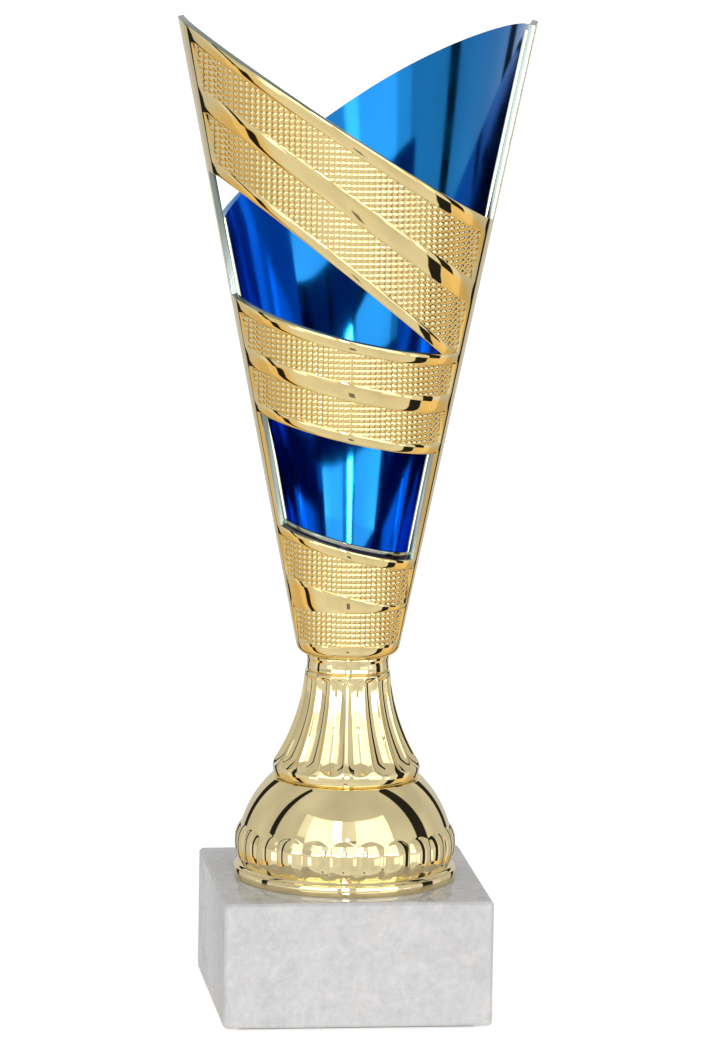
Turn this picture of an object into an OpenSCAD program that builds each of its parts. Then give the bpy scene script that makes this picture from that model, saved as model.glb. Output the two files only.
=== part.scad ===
// Cup trophy on a square marble base.
// One threaded rod clamps the whole stack: base, foot, stem, collar and cup.
// The cup is a gilded openwork front frame with a blue mirror shell inside it.
// Front is -Y, +Z is up, and the origin is the centre of the underside.

/* [Base] */
// Width and depth of the square marble block
base_w = 85; // [75:1:110]
// Height of the marble block
base_h = 40; // [30:1:60]
// Chamfer along every edge of the block
base_chamfer = 0.9; // [0.3:0.1:2]
// Thickness of the felt sheet under the block
felt_t = 1; // [0.5:0.1:3]
// How far the felt stays back from the edge of the block
felt_inset = 4; // [1:0.5:10]

/* [Rod, nuts and washers] */
// Diameter of the threaded rod
rod_d = 6; // [5:0.5:8]
// Width of a nut across its flats
nut_af = 10; // [8:0.5:13]
// Height of a nut
nut_h = 5; // [4:0.5:8]
// Chamfer on the corners of a nut
nut_chamfer = 0.6; // [0.3:0.1:1]
// Outer diameter of a washer
washer_d = 18; // [14:0.5:20]
// Thickness of a washer
washer_t = 1.6; // [1:0.1:2.5]
// How far the rod stands out of each nut
rod_proud = 3; // [1.5:0.5:6]
// Chamfer on each end of the rod
rod_chamfer = 0.8; // [0.3:0.1:1.2]
// Gap between the rod and the wall of the holes it passes through
rod_gap = 0.4; // [0.2:0.05:1]
// Gap between the rod and the thread of a nut
thread_gap = 0.05; // [0.03:0.01:0.1]
// Diameter of the recess for the nut under the block
recess_d = 26; // [22:1:32]
// Depth of the recess under the block
recess_h = 13; // [11:0.5:18]

/* [Foot] */
// Radius of the domed foot
dome_r = 34.5; // [30:0.1:37]
// Height of the centre of the dome above the block
dome_lift = 7.3; // [3:0.1:9]
// Height of the foot, from the block to the seat of the stem
foot_h = 32.2; // [28:0.1:38]
// Radius of the flat ring that the foot stands on
plinth_r = 35.4; // [34:0.1:38]
// Height of that ring
plinth_h = 4.6; // [3:0.1:7]
// Number of lobes around the foot
lobe_n = 24; // [16:1:32]
// Radius of one lobe
lobe_r = 6.5; // [5:0.1:8]
// Radius to the outside of the lobes
lobe_out_r = 35.3; // [32:0.1:37]
// Height of the middle of the lobes above the block
lobe_lift = 11.2; // [9:0.1:14]
// Height above the middle of the lobes at which the dome starts
shoulder_h = 3; // [2:0.1:5]
// Radius of the body behind the lobes
waist_r = 32; // [28:0.5:33]
// Wall of the hollow foot
foot_wall = 2; // [1.5:0.1:3]
// Outer radius of the tube inside the foot that carries the clamping force
foot_tube_r = 7; // [5.5:0.5:9]

/* [Stem] */
// Height of the fluted stem
stem_h = 34.6; // [28:0.1:45]
// Radius of the stem at its top
stem_top_r = 13.5; // [11.5:0.1:16]
// Radius of the stem at its lip
stem_lip_r = 23.4; // [21:0.1:24]
// Radius of the rounding of the lip
lip_round = 3.2; // [2:0.1:4]
// Radius of the hollow curve of the stem's side
stem_curve_r = 64.7; // [55:0.1:90]
// Number of flutes
flute_n = 16; // [12:1:24]
// Radius of the cutter that hollows a flute
flute_r = 5; // [4:0.1:6]
// Depth of a flute at its top
flute_top_depth = 0.7; // [0.4:0.1:1.2]
// Depth of a flute at its foot
flute_foot_depth = 1.6; // [0.8:0.1:2.2]
// Height above the seat at which the flutes start
flute_start_h = 7.4; // [5:0.1:12]
// Wall of the hollow stem
stem_wall = 3.4; // [3:0.1:5]
// How much thinner the wall is half way up the stem
stem_waist = 1; // [0.2:0.1:1.2]
// Thickness of the stem's top plate
stem_plate_t = 4; // [3:0.5:6]

/* [Collar] */
// Radius of the collar
collar_r = 13.1; // [11:0.1:16]
// Height of the collar
collar_h = 5.2; // [3:0.1:10]

/* [Cup] */
// How far the front of the cup is turned to the left of the base's front
cup_turn = 7; // [-45:1:45]
// Radius of the cup's cone at its seat
cup_foot_r = 15.9; // [15:0.1:18]
// Angle between the side of the cup and its axis
cup_angle = 11.34; // [9:0.01:13]
// Rounding of the cup's lower edge
cup_round = 3.4; // [2:0.1:4]
// Wall of the gilded front frame
frame_wall = 2; // [1.5:0.1:3]
// Thickness of the floor of the frame
frame_floor_t = 3; // [2:0.1:5]
// Half angle of the upper openings, measured from the cup's front
upper_half = 79; // [70:1:84]
// Half angle of the lower window
lower_half = 65; // [50:1:75]

/* [Cup bands: height on the axis, fall in degrees, heading of the fall] */
// Height of the upper edge of the sash
sash_top_h = 166.5; // [155:0.1:175]
// Fall of the upper edge of the sash
sash_top_fall = 31.9; // [25:0.1:36]
// Heading of the fall of the upper edge of the sash
sash_top_heading = 4.4; // [-5:0.1:12]
// Height of the lower edge of the sash
sash_foot_h = 116.9; // [112:0.1:125]
// Fall of the lower edge of the sash
sash_foot_fall = 38.4; // [33:0.1:42]
// Heading of the fall of the lower edge of the sash
sash_foot_heading = 13; // [0:0.1:20]
// Height of the upper edge of the middle band
mid_top_h = 106.8; // [98:0.1:111]
// Fall of the upper edge of the middle band
mid_top_fall = 13.2; // [8:0.1:18]
// Heading of the fall of the upper edge of the middle band
mid_top_heading = -15.6; // [-20:0.1:0]
// Height of the lower edge of the middle band
mid_foot_h = 72.1; // [65:0.1:80]
// Fall of the lower edge of the middle band
mid_foot_fall = 12.3; // [8:0.1:18]
// Heading of the fall of the lower edge of the middle band
mid_foot_heading = -4.7; // [-20:0.1:0]
// Height of the ledge, the upper edge of the lower band
ledge_h = 37.1; // [30:0.1:45]
// Fall of the ledge
ledge_fall = 14; // [8:0.1:18]
// Heading of the fall of the ledge
ledge_heading = -8; // [-20:0.1:0]
// Height of the smooth border under the ledge
ledge_border_h = 3.2; // [2:0.1:5]
// Height of the smooth wedge across the lower band at its upper edge
wedge_top_h = 21.8; // [18:0.1:26]
// Height of the wedge at its level lower edge
wedge_foot_h = 15.8; // [10:0.1:17]
// Height of the smooth border at the foot of the cup
hem_h = 4.6; // [3:0.1:8]

/* [Cup relief] */
// Depth of the textured fields below the borders
field_depth = 0.6; // [0.3:0.1:0.9]
// Half angle of the textured fields
field_half = 66; // [60:1:70]
// Share of a band's height taken by its upper border
border_share = 0.107; // [0.06:0.001:0.15]
// Share at which a band's middle rib starts
rib_from = 0.415; // [0.3:0.005:0.48]
// Share at which a band's middle rib ends
rib_to = 0.585; // [0.52:0.005:0.7]
// Share at which a band's lower border starts
hem_share = 0.91; // [0.85:0.005:0.95]

/* [Blue shell] */
// Height of the shell's back rim where it crosses the axis
rim_mid_h = 172.1; // [160:0.1:185]
// Slope of the rim there
rim_slope = 34.1; // [28:0.1:40]
// Radius of the arc that the rim follows
rim_arc_r = 284; // [200:1:500]
// Wall of the part of the shell inside the frame
liner_wall = 1; // [0.8:0.1:1.5]
// Wall of the back of the shell
back_wall = 2; // [1.5:0.1:2.9]
// Gap between the shell and the frame
shell_gap = 0.05; // [0.03:0.01:0.2]
// Gap between the back of the shell and the edge of the frame
seam_gap = 0.15; // [0.1:0.01:0.4]
// How far the front lip of the shell stands above the ledge
lip_rise = 2.3; // [1:0.1:4]
// How much more the lip falls than the ledge
lip_more_fall = 1.1; // [-2:0.1:2]
// Thickness of the floor of the shell
shell_floor_t = 2; // [1.5:0.1:3]

/* [Hidden] */
$fn = 96;
reach = 400;
front = 270;
back_half = 100;
overlap = 1;

// Heights of the joints between the stacked pieces
base_z = felt_t;
foot_z = base_z + base_h;
stem_z = foot_z + foot_h;
collar_z = stem_z + stem_h;
cup_z = collar_z + collar_h;
shell_z = cup_z + frame_floor_t;
clamp_z = shell_z + shell_floor_t;

// Bores, rod and cup
rod_bore_d = rod_d + 2 * rod_gap;
base_washer_z = base_z + recess_h - washer_t;
base_nut_z = base_washer_z - nut_h;
cup_nut_z = clamp_z + washer_t;
rod_z0 = base_nut_z - rod_proud;
rod_z1 = cup_nut_z + nut_h + rod_proud;
cup_slope = tan(cup_angle);
cup_h = rim_mid_h + 50;
lobe_path_r = lobe_out_r - lobe_r;
shell_in = frame_wall + shell_gap + liner_wall;

// Centre of the stem's side curve: it touches the lip's rounding and meets the top edge
lip_c = [stem_lip_r - lip_round, lip_round];
stem_top = [stem_top_r, stem_h];
function meet(p, rp, q, rq) =
    let (d = norm(q - p), u = (q - p) / d, a = (d * d + rp * rp - rq * rq) / (2 * d),
         s = sqrt(rp * rp - a * a))
    p + a * u + s * [u[1], -u[0]];
stem_c = meet(lip_c, stem_curve_r + lip_round, stem_top, stem_curve_r);
function angle_to(p) = atan2(stem_c[1] - p[1], stem_c[0] - p[0]);
lip_a = angle_to(lip_c);
top_a = angle_to(stem_top);
flute_foot_a = asin((stem_c[1] - flute_start_h) / stem_curve_r);
function arc(c, r, a0, a1, n) = [for (i = [0 : n]) let (a = a0 + (a1 - a0) * i / n) c + r * [cos(a), sin(a)]];
stem_side = concat(arc(lip_c, lip_round, -90, lip_a, 10),
                   arc(stem_c, stem_curve_r, 180 + lip_a, 180 + top_a, 16));

// Radius of the cup's cone at a height above its seat
function cup_r(h) = cup_foot_r + cup_slope * h;

// Edges of the cup's bands: height on the axis, fall, heading
sash_top = [sash_top_h, sash_top_fall, sash_top_heading];
sash_foot = [sash_foot_h, sash_foot_fall, sash_foot_heading];
mid_top = [mid_top_h, mid_top_fall, mid_top_heading];
mid_foot = [mid_foot_h, mid_foot_fall, mid_foot_heading];
ledge = [ledge_h, ledge_fall, ledge_heading];
ledge_border = [ledge_h - ledge_border_h, ledge_fall, ledge_heading];
liner_lip = [ledge_h + lip_rise, ledge_fall + lip_more_fall, ledge_heading];
wedge_top = [wedge_top_h, ledge_fall, ledge_heading];
wedge_foot = [wedge_foot_h, 0, 0];
hem = [hem_h, 0, 0];
// An edge that lies a share of the way from one edge to another
function between_edges(a, b, share) = a + (b - a) * share;

// A bore along the axis
module bore(d, z0, z1) {
    translate([0, 0, z0 - overlap]) cylinder(d = d, h = z1 - z0 + 2 * overlap);
}

// A square with its corners cut off, standing on the middle of its width
module cut_square(w, h, c) {
    polygon([[-w / 2 + c, 0], [w / 2 - c, 0], [w / 2, c], [w / 2, h - c],
             [w / 2 - c, h], [-w / 2 + c, h], [-w / 2, h - c], [-w / 2, c]]);
}

module base_felt() color("#3b3f45") {
    w = base_w - 2 * felt_inset;
    translate([-w / 2, -w / 2, 0]) cube([w, w, felt_t]);
}

module marble_base() color("#c9c7c4") {
    difference() {
        translate([0, 0, base_z]) intersection() {
            rotate([90, 0, 0]) translate([0, 0, -base_w]) linear_extrude(2 * base_w)
                cut_square(base_w, base_h, base_chamfer);
            rotate([90, 0, 90]) translate([0, 0, -base_w]) linear_extrude(2 * base_w)
                cut_square(base_w, base_h, base_chamfer);
            linear_extrude(base_h) translate([0, -base_w / 2]) cut_square(base_w, base_w, base_chamfer);
        }
        bore(rod_bore_d, base_z, foot_z);
        translate([0, 0, base_z - overlap]) cylinder(d = recess_d, h = recess_h + overlap);
    }
}

// A washer whose underside is at height z
module washer(z) {
    difference() {
        translate([0, 0, z]) cylinder(d = washer_d, h = washer_t);
        bore(rod_bore_d, z, z + washer_t);
    }
}

// A hexagon nut whose underside is at height z
module nut(z) {
    difference() {
        intersection() {
            translate([0, 0, z]) cylinder(d = nut_af / cos(30), h = nut_h, $fn = 6);
            translate([0, 0, z]) rotate_extrude() polygon([[0, 0], [nut_af / 2, 0],
                [nut_af / 2 + overlap, nut_chamfer], [nut_af / 2 + overlap, nut_h - nut_chamfer],
                [nut_af / 2, nut_h], [0, nut_h]]);
        }
        bore(rod_d + 2 * thread_gap, z, z + nut_h);
    }
}

module base_washer() color("silver") washer(base_washer_z);
module base_nut() color("silver") nut(base_nut_z);
module cup_washer() color("silver") washer(clamp_z);
module cup_nut() color("silver") nut(cup_nut_z);

module tie_rod() color("silver") {
    r = rod_d / 2;
    rotate_extrude() polygon([[0, rod_z0], [r - rod_chamfer, rod_z0], [r, rod_z0 + rod_chamfer],
        [r, rod_z1 - rod_chamfer], [r - rod_chamfer, rod_z1], [0, rod_z1]]);
}

// Hollow foot: a dome on a ring of lobes, with a tube inside that takes the clamping force
module foot_dome() color("#d8b45a") {
    shoulder = lobe_lift + shoulder_h;
    translate([0, 0, foot_z]) difference() {
        union() {
            intersection() {
                translate([0, 0, dome_lift]) sphere(r = dome_r);
                translate([0, 0, shoulder]) cylinder(r = dome_r + overlap, h = foot_h - shoulder);
            }
            cylinder(r = waist_r, h = shoulder);
            cylinder(r = plinth_r, h = plinth_h);
            for (i = [0 : lobe_n - 1]) rotate([0, 0, (i + 0.5) * 360 / lobe_n])
                translate([lobe_path_r, 0, lobe_lift]) sphere(r = lobe_r, $fn = 32);
        }
        difference() {
            intersection() {
                translate([0, 0, dome_lift]) sphere(r = dome_r - foot_wall);
                translate([0, 0, -overlap]) cylinder(r = waist_r - foot_wall, h = foot_h + overlap - foot_wall);
            }
            cylinder(r = foot_tube_r, h = foot_h);
        }
        bore(rod_bore_d, 0, foot_h);
    }
}

// The space that a flute takes: a bent tube, deeper at its foot, with a ball at its end
module flute() {
    half = (flute_foot_a - top_a) / 2;
    mid = (flute_foot_a + top_a) / 2;
    shift = (flute_foot_depth - flute_top_depth) / sin(half) / 2;
    c = stem_c + shift * [sin(mid), -cos(mid)];
    path_r = stem_curve_r - flute_r + (flute_foot_depth + flute_top_depth) / 2;
    translate([c[0], 0, c[1]]) rotate([90, 0, 0])
        rotate_extrude(angle = flute_foot_a - top_a + 6, start = 180 + top_a - 6)
            translate([path_r, 0]) circle(r = flute_r, $fn = 48);
    translate([c[0] - path_r * cos(flute_foot_a), 0, c[1] - path_r * sin(flute_foot_a)])
        sphere(r = flute_r, $fn = 48);
}

// Bell-shaped stem, fluted outside and hollow inside
module stem_bell() color("#e0bd62") {
    lip_in = lip_c[0] - stem_wall;
    waist_in = stem_top_r - stem_wall + stem_waist;
    plate_h = stem_h - stem_plate_t;
    rotate([0, 0, -cup_turn]) translate([0, 0, stem_z]) difference() {
        rotate_extrude() polygon(concat([[0, 0]], stem_side, [[0, stem_h]]));
        for (i = [0 : flute_n - 1]) rotate([0, 0, (i + 0.5) * 360 / flute_n]) flute();
        rotate_extrude() polygon([[0, -overlap], [lip_in, -overlap], [lip_in, 0], [waist_in, stem_h / 2],
            [waist_in - 2 * stem_waist, plate_h], [0, plate_h]]);
        bore(rod_bore_d, 0, stem_h);
    }
}

module neck_collar() color("#d8b45a") {
    difference() {
        translate([0, 0, collar_z]) cylinder(r = collar_r, h = collar_h);
        bore(rod_bore_d, collar_z, cup_z);
    }
}

// All space below a sloping edge of the cup
module below(edge) {
    translate([0, 0, edge[0]]) rotate([0, 0, edge[2]]) rotate([0, edge[1], 0])
        translate([-reach, -reach, -2 * reach]) cube(2 * reach);
}

// The slice of space between two sloping edges
module between(upper, lower) {
    difference() {
        below(upper);
        below(lower);
    }
}

// A wedge around the cup's front, from one angle and one height to the other
module wedge(from_a, to_a, h0 = 0, h1 = reach) {
    rotate_extrude(angle = to_a - from_a, start = front + from_a)
        translate([overlap, h0]) square([reach / 4, h1 - h0]);
}

// A conical wall between two depths under the cup's surface
module cone_wall(outer_in, inner_in, h0, h1, from_a = -180, to_a = 180) {
    rotate_extrude(angle = to_a - from_a, start = front + from_a)
        polygon([[cup_r(h0) - inner_in, h0], [cup_r(h0) - outer_in, h0],
                 [cup_r(h1) - outer_in, h1], [cup_r(h1) - inner_in, h1]]);
}

// All space above the cup's rising back rim, an arc seen from the front
module above_rim() {
    c = [rim_arc_r * sin(rim_slope), rim_mid_h - rim_arc_r * cos(rim_slope)];
    rotate([90, 0, 0]) translate([0, 0, -reach / 2]) linear_extrude(reach) difference() {
        translate([-reach / 4, rim_mid_h - reach / 5]) square([reach / 2, reach / 2]);
        translate(c) circle(r = rim_arc_r, $fn = 360);
    }
}

// A shallow textured field between two edges of a band
module field(upper, lower) {
    intersection() {
        between(upper, lower);
        cone_wall(-overlap, field_depth, overlap, cup_h, -field_half, field_half);
    }
}

// The two textured fields of a band, above and below its rib
module band_fields(top, foot) {
    field(between_edges(top, foot, border_share), between_edges(top, foot, rib_from));
    field(between_edges(top, foot, rib_to), between_edges(top, foot, hem_share));
}

// Gilded frame: a closed ring at the foot, and a front half with three bands and two rails
module cup_frame() color("#d9b75f") {
    round_c = [cup_r(cup_round) - cup_round / cos(cup_angle), cup_round];
    lower_edge = arc(round_c, cup_round, -90, -cup_angle, 8);
    rotate([0, 0, -cup_turn]) translate([0, 0, cup_z]) difference() {
        rotate_extrude() polygon(concat([[0, 0]], lower_edge,
            [[cup_r(cup_h), cup_h], [cup_r(cup_h) - frame_wall, cup_h],
             [cup_r(frame_floor_t) - frame_wall, frame_floor_t], [0, frame_floor_t]]));
        difference() {
            translate([-reach / 2, 0, 0]) cube(reach);
            below(ledge);
        }
        intersection() {
            between(sash_foot, mid_top);
            wedge(-upper_half, upper_half);
        }
        intersection() {
            between(mid_foot, ledge);
            wedge(-lower_half, lower_half);
        }
        difference() {
            wedge(-back_half, upper_half);
            below(sash_top);
        }
        intersection() {
            above_rim();
            wedge(upper_half - overlap, back_half);
        }
        band_fields(sash_top, sash_foot);
        band_fields(mid_top, mid_foot);
        field(ledge_border, wedge_top);
        field(wedge_foot, hem);
        bore(rod_bore_d, 0, frame_floor_t);
    }
}

// Blue mirror shell: a closed cone at the foot inside the frame, and the cup's back above it
module cup_shell() color("#1a3fa0") {
    outer_in = frame_wall + shell_gap;
    floor_in = outer_in + liner_wall / 2;
    floor_top = frame_floor_t + shell_floor_t;
    rotate([0, 0, -cup_turn]) translate([0, 0, cup_z]) difference() {
        union() {
            difference() {
                cone_wall(outer_in, shell_in, frame_floor_t, cup_h);
                difference() {
                    union() {
                        wedge(-lower_half, lower_half, h1 = mid_foot_h);
                        wedge(-upper_half, upper_half, h0 = mid_foot_h);
                    }
                    below(liner_lip);
                }
            }
            rotate_extrude() polygon([[0, frame_floor_t], [cup_r(frame_floor_t) - floor_in, frame_floor_t],
                [cup_r(floor_top) - floor_in, floor_top], [0, floor_top]]);
            difference() {
                intersection() {
                    cone_wall(shell_in - back_wall, shell_in, frame_floor_t, cup_h);
                    translate([-reach / 2, seam_gap, 0]) cube(reach);
                }
                translate([0, 0, seam_gap]) below(ledge);
            }
        }
        above_rim();
        bore(rod_bore_d, 0, clamp_z - cup_z);
    }
}

base_felt();
marble_base();
base_washer();
base_nut();
tie_rod();
foot_dome();
stem_bell();
neck_collar();
cup_frame();
cup_shell();
cup_washer();
cup_nut();
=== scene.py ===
import math

import bmesh
import bpy
from mathutils import Matrix, Vector


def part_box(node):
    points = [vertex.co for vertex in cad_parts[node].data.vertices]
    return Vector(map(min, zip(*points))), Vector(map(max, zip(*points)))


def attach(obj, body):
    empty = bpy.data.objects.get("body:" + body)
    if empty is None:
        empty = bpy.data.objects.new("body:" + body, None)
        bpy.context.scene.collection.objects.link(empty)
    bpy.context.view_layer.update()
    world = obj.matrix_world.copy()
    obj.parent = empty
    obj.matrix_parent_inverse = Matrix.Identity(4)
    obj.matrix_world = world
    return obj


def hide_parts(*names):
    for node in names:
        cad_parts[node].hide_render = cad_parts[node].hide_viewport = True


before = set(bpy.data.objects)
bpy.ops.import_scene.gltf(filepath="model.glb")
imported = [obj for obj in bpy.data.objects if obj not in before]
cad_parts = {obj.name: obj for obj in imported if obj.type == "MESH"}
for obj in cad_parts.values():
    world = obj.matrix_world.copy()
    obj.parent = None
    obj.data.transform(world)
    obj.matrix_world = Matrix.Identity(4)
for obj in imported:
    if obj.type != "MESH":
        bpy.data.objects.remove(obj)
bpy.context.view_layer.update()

# Everything is modelled in millimetres, and settle() brings a finished piece to metres.
MM = 0.001
BODY = "root"


def low(node):
    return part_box(node)[0].z / MM


def high(node):
    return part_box(node)[1].z / MM


# Heights of the joints in the stack
base_z = low("marble_base")
foot_z = low("foot_dome")
stem_z = low("stem_bell")
collar_z = low("neck_collar")
cup_z = low("cup_frame")

# The cup's front is turned to the left of the base's front
CUP_TURN = math.radians(-7)

# Cup: a cone with its two halves, the gilded frame in front and the blue shell behind
CUP_ANGLE = math.radians(11.34)
CUP_SLOPE = math.tan(CUP_ANGLE)
CUP_FOOT_R = 15.9
CUP_ROUND = 3.4
CUP_TOP_H = 222
FRAME_WALL = 2
FRAME_FLOOR = 3
# The openings reach this far to each side of the front, in degrees
UPPER_HALF = 79
LOWER_HALF = 65
# The shell's mirror side lies this far inside the cup's outline
LINER_IN = 3.05
LINER_WALL = 1
LINER_FLOOR = 2

ROD_R = 3
BORE_R = 3.4
THREAD_PITCH = 1.0
THREAD_DEPTH = 0.55
RECESS_R = 13
WASHER_R = 9
NUT_ACROSS = 10
# Cutters start this close to the axis
AXIS = 0.01
# Points closer than this are welded, and cuts this close to a point pass through it
WELD = 0.002
CUT_THRESHOLD = 0.0005


def cup_r(h):
    return CUP_FOOT_R + CUP_SLOPE * h


# ---------------------------------------------------------------- modelling tools

def deselect():
    if bpy.context.object and bpy.context.object.mode != "OBJECT":
        bpy.ops.object.mode_set(mode="OBJECT")
    bpy.ops.object.select_all(action="DESELECT")


def take(piece):
    """Makes a piece the only one selected, in object mode."""
    deselect()
    piece.select_set(True)
    bpy.context.view_layer.objects.active = piece


def edit(piece):
    take(piece)
    bpy.ops.object.mode_set(mode="EDIT")


def pick_faces(piece, test):
    """In edit mode, selects the faces whose middle passes the test."""
    bpy.ops.mesh.select_mode(type="FACE")
    bm = bmesh.from_edit_mesh(piece.data)
    count = 0
    for face in bm.faces:
        face.select_set(test(face.calc_center_median()))
        count += face.select
    bmesh.update_edit_mesh(piece.data)
    return count


def pick_edges(piece, test):
    """In edit mode, selects the edges whose two ends pass the test."""
    bpy.ops.mesh.select_mode(type="EDGE")
    bm = bmesh.from_edit_mesh(piece.data)
    for edge in bm.edges:
        edge.select_set(False)
    for edge in bm.edges:
        if test(edge.verts[0].co, edge.verts[1].co):
            edge.select_set(True)
    bmesh.update_edit_mesh(piece.data)


def delete_faces(piece, test):
    if pick_faces(piece, test):
        bpy.ops.mesh.delete(type="FACE")


def single_point(x, z):
    """A mesh of one point, in edit mode, from which an outline is drawn."""
    deselect()
    bpy.ops.mesh.primitive_plane_add(size=1)
    piece = bpy.context.object
    bpy.ops.object.mode_set(mode="EDIT")
    bpy.ops.mesh.select_mode(type="VERT")
    bpy.ops.mesh.select_all(action="SELECT")
    bpy.ops.mesh.merge(type="CENTER")
    bpy.ops.transform.translate(value=(x, 0, z))
    return piece


def turned(outline, steps):
    """A turned piece: one point is drawn out along a closed outline, which is spun around the axis."""
    piece = single_point(*outline[0])
    for (r0, z0), (r1, z1) in zip(outline, outline[1:] + outline[:1]):
        bpy.ops.mesh.extrude_region_move(TRANSFORM_OT_translate={"value": (r1 - r0, 0, z1 - z0)})
    bpy.ops.mesh.select_all(action="SELECT")
    bpy.ops.mesh.remove_doubles(threshold=WELD)
    bpy.ops.mesh.spin(steps=steps, angle=2 * math.pi, center=(0, 0, 0), axis=(0, 0, 1))
    bpy.ops.mesh.select_all(action="SELECT")
    bpy.ops.mesh.remove_doubles(threshold=WELD)
    bpy.ops.mesh.normals_make_consistent(inside=False)
    bpy.ops.object.mode_set(mode="OBJECT")
    return piece


def arc(centre, radius, start, end, count):
    """Points on an arc, with angles in degrees from the outward direction."""
    points = []
    for i in range(count + 1):
        a = math.radians(start + (end - start) * i / count)
        points.append((centre[0] + radius * math.cos(a), centre[1] + radius * math.sin(a)))
    return points


def modifier(piece, kind, **settings):
    """Adds a modifier with its settings and applies it."""
    take(piece)
    added = piece.modifiers.new(kind.title(), kind)
    for key, value in settings.items():
        setattr(added, key, value)
    bpy.ops.object.modifier_apply(modifier=added.name)


def cut_away(piece, cutter):
    modifier(piece, "BOOLEAN", operation="DIFFERENCE", solver="EXACT", object=cutter)
    bpy.data.objects.remove(cutter)


def smooth(piece, angle=30):
    take(piece)
    bpy.ops.object.shade_smooth_by_angle(angle=math.radians(angle))


def lift(piece, height):
    piece.data.transform(Matrix.Translation((0, 0, height)))


def set_radius(vertex, new):
    """Moves a vertex level, straight towards or away from the axis, to a new radius."""
    x, y, _ = vertex.co
    r = math.hypot(x, y)
    vertex.co.x, vertex.co.y = x * new / r, y * new / r


def settle(piece, name, materials, turn=0.0):
    """Gives a finished piece its name, finish and body, and brings it from millimetres to metres."""
    deselect()
    piece.data.transform(Matrix.Rotation(turn, 4, "Z") @ Matrix.Scale(MM, 4))
    piece.name = name
    piece.data.name = name
    places = [face.material_index for face in piece.data.polygons]
    piece.data.materials.clear()
    for material in materials:
        piece.data.materials.append(material)
    for face, place in zip(piece.data.polygons, places):
        face.material_index = min(place, len(materials) - 1)
    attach(piece, BODY)
    return piece


# ---------------------------------------------------------------- node tools

def node(tree, kind, **inputs):
    """A shader node with its input values set by name, where spaces are written as underscores."""
    made = tree.nodes.new(kind)
    for key, value in inputs.items():
        made.inputs[key.replace("_", " ")].default_value = value
    return made


def math_node(tree, operation, a, b=None):
    made = tree.nodes.new("ShaderNodeMath")
    made.operation = operation
    for place, value in enumerate((a, b)):
        if value is None:
            continue
        if isinstance(value, (int, float)):
            made.inputs[place].default_value = value
        else:
            tree.links.new(value, made.inputs[place])
    return made.outputs[0]


def object_coordinates(tree):
    return tree.nodes.new("ShaderNodeTexCoord").outputs["Object"]


def noise(tree, scale, detail, roughness=0.5, distortion=0.0):
    made = node(tree, "ShaderNodeTexNoise", Scale=scale, Detail=detail, Roughness=roughness,
                Distortion=distortion)
    tree.links.new(object_coordinates(tree), made.inputs["Vector"])
    return made.outputs["Fac"]


def remap(tree, value, from_low, from_high, to_low, to_high):
    made = node(tree, "ShaderNodeMapRange", From_Min=from_low, From_Max=from_high, To_Min=to_low,
                To_Max=to_high)
    tree.links.new(value, made.inputs["Value"])
    return made.outputs["Result"]


def blend_colours(tree, mask, first, second):
    made = tree.nodes.new("ShaderNodeMix")
    made.data_type = "RGBA"
    for place, value in ((0, mask), (6, first), (7, second)):
        if isinstance(value, (tuple, float, int)):
            made.inputs[place].default_value = value
        else:
            tree.links.new(value, made.inputs[place])
    return made.outputs[2]


def new_group(name, inputs, outputs):
    """An empty shader group with named inputs (with their defaults) and named outputs."""
    tree = bpy.data.node_groups.new(name, "ShaderNodeTree")
    for label, default in inputs:
        socket = tree.interface.new_socket(label, in_out="INPUT", socket_type="NodeSocketFloat")
        socket.default_value = default
    for label, kind in outputs:
        tree.interface.new_socket(label, in_out="OUTPUT", socket_type=kind)
    return tree, tree.nodes.new("NodeGroupInput").outputs, tree.nodes.new("NodeGroupOutput").inputs


def plated_skin_group():
    """Metallised plastic: faint ripples from the moulding, and a slightly uneven gloss from handling."""
    tree, given, out = new_group(
        "Plated skin",
        [("Gloss low", 0.02), ("Gloss high", 0.06), ("Ripple", 0.02)],
        [("Roughness", "NodeSocketFloat"), ("Normal", "NodeSocketVector")])
    smears = noise(tree, 55, 3, 0.6, 0.6)
    rough = node(tree, "ShaderNodeMapRange", From_Min=0.35, From_Max=0.7)
    tree.links.new(smears, rough.inputs["Value"])
    tree.links.new(given["Gloss low"], rough.inputs["To Min"])
    tree.links.new(given["Gloss high"], rough.inputs["To Max"])
    tree.links.new(rough.outputs["Result"], out["Roughness"])
    ripples = noise(tree, 95, 1, 0.4)
    bump = node(tree, "ShaderNodeBump", Distance=0.001)
    tree.links.new(ripples, bump.inputs["Height"])
    tree.links.new(given["Ripple"], bump.inputs["Strength"])
    tree.links.new(bump.outputs["Normal"], out["Normal"])
    return tree


PLATED_SKIN = plated_skin_group()


def new_material(name):
    """A material with its tree and its Principled shader."""
    material = bpy.data.materials.new(name)
    material.use_nodes = True
    return material, material.node_tree, material.node_tree.nodes["Principled BSDF"]


def plated(name, colour, shade, low_gloss, high_gloss, ripple):
    """A plated or lacquered mirror finish, whose tint drifts a little over the surface."""
    material, tree, shader = new_material(name)
    shader.inputs["Metallic"].default_value = 1
    skin = tree.nodes.new("ShaderNodeGroup")
    skin.node_tree = PLATED_SKIN
    skin.inputs["Gloss low"].default_value = low_gloss
    skin.inputs["Gloss high"].default_value = high_gloss
    skin.inputs["Ripple"].default_value = ripple
    drift = remap(tree, noise(tree, 24, 2), 0.35, 0.65, 0, 1)
    tint = blend_colours(tree, drift, (*colour, 1), (*shade, 1))
    tree.links.new(tint, shader.inputs["Base Color"])
    tree.links.new(skin.outputs["Roughness"], shader.inputs["Roughness"])
    tree.links.new(skin.outputs["Normal"], shader.inputs["Normal"])
    return material


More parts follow.
